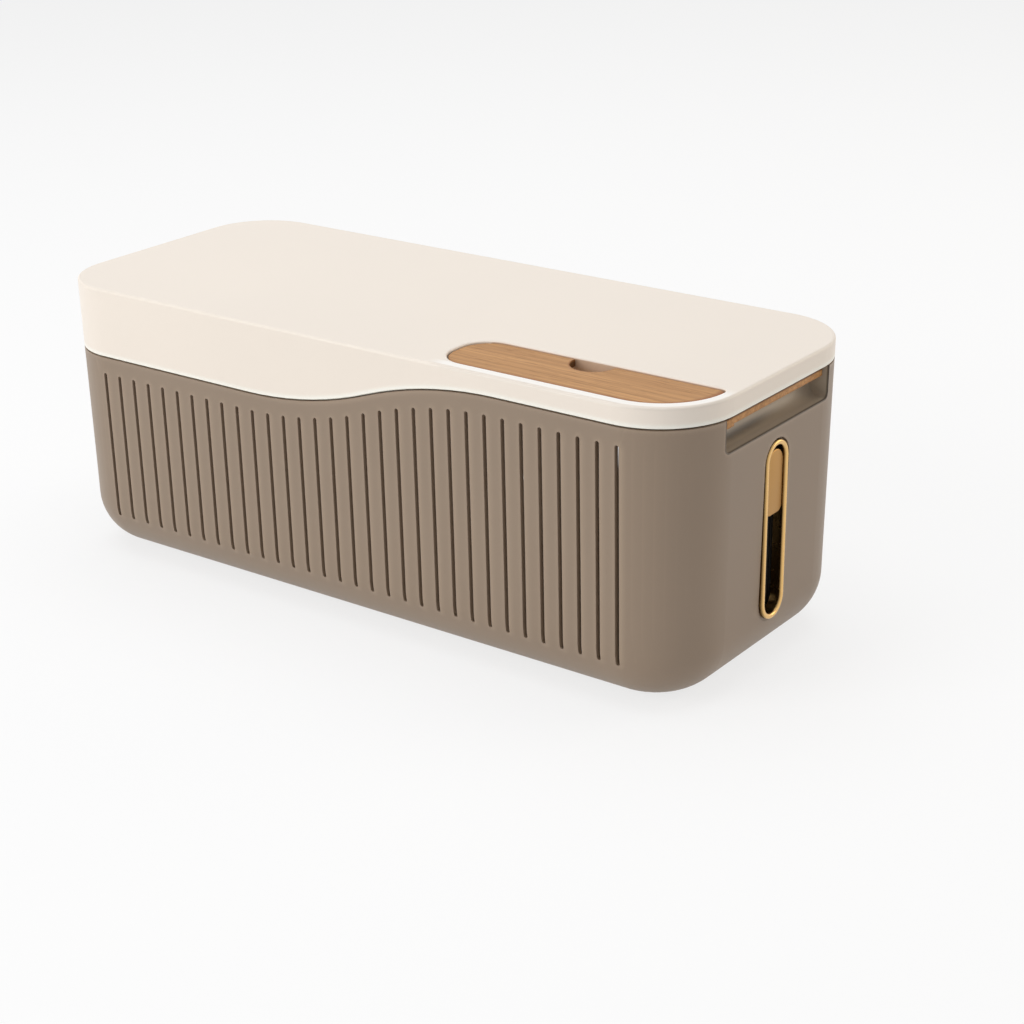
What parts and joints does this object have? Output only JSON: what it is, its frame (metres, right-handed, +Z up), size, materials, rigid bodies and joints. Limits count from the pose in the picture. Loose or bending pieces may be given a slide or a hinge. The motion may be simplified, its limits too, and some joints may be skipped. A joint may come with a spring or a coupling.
{
  "type": "cable management box",
  "caption": "Oblong cable box with a wave-edged lift-off lid, slotted long walls, a lift-out top cover and an end slot with a sliding shutter.",
  "frame": {"origin": "under the middle of the box, on the surface that its feet stand on", "axes": "+X along the length towards the end with the grip recess, -Y towards the long wall beside the top cover, +Z up"},
  "size_m": [0.34, 0.14, 0.13],
  "materials": {
    "bin_plastic": "fine matte moulded plastic, taupe",
    "lid_plastic": "satin moulded plastic, warm cream",
    "oak": "fine straight grain, oiled",
    "gold_plate": "bright gold plating on plastic",
    "gold_satin": "satin gold plating on plastic",
    "guide_plastic": "black moulded plastic",
    "screw_steel": "zinc-plated steel",
    "foot_rubber": "matt black rubber"
  },
  "bodies": {
    "bin": {"bin": "bin_plastic", "foot_front_left": "foot_rubber", "foot_front_right": "foot_rubber", "foot_back_left": "foot_rubber", "foot_back_right": "foot_rubber", "slot_bezel_right": "gold_plate", "shutter_guide_right": "guide_plastic", "guide_screws_right": "screw_steel", "slot_bezel_left": "gold_plate", "shutter_guide_left": "guide_plastic", "guide_screws_left": "screw_steel"},
    "lid": {"lid": "lid_plastic", "cover_tray": "lid_plastic", "tray_screws": "screw_steel", "grip_strip": "oak"},
    "top_cover": {"top_cover": "oak"},
    "shutter_right": {"shutter_right": "gold_satin", "shutter_carrier_right": "guide_plastic"},
    "shutter_left": {"shutter_left": "gold_satin", "shutter_carrier_left": "guide_plastic"}
  },
  "joints": [
    {"name": "lid_lift", "type": "slide", "parent": "bin", "child": "lid", "axis": [0, 0, 1], "range_m": [0, 0.08]},
    {"name": "cover_lift", "type": "slide", "parent": "lid", "child": "top_cover", "axis": [0, 0, 1], "range_m": [0, 0.03]},
    {"name": "shutter_right_slide", "type": "slide", "parent": "bin", "child": "shutter_right", "axis": [0, 0, -1], "range_m": [0, 0.038]},
    {"name": "shutter_left_slide", "type": "slide", "parent": "bin", "child": "shutter_left", "axis": [0, 0, -1], "range_m": [0, 0.028]}
  ]
}
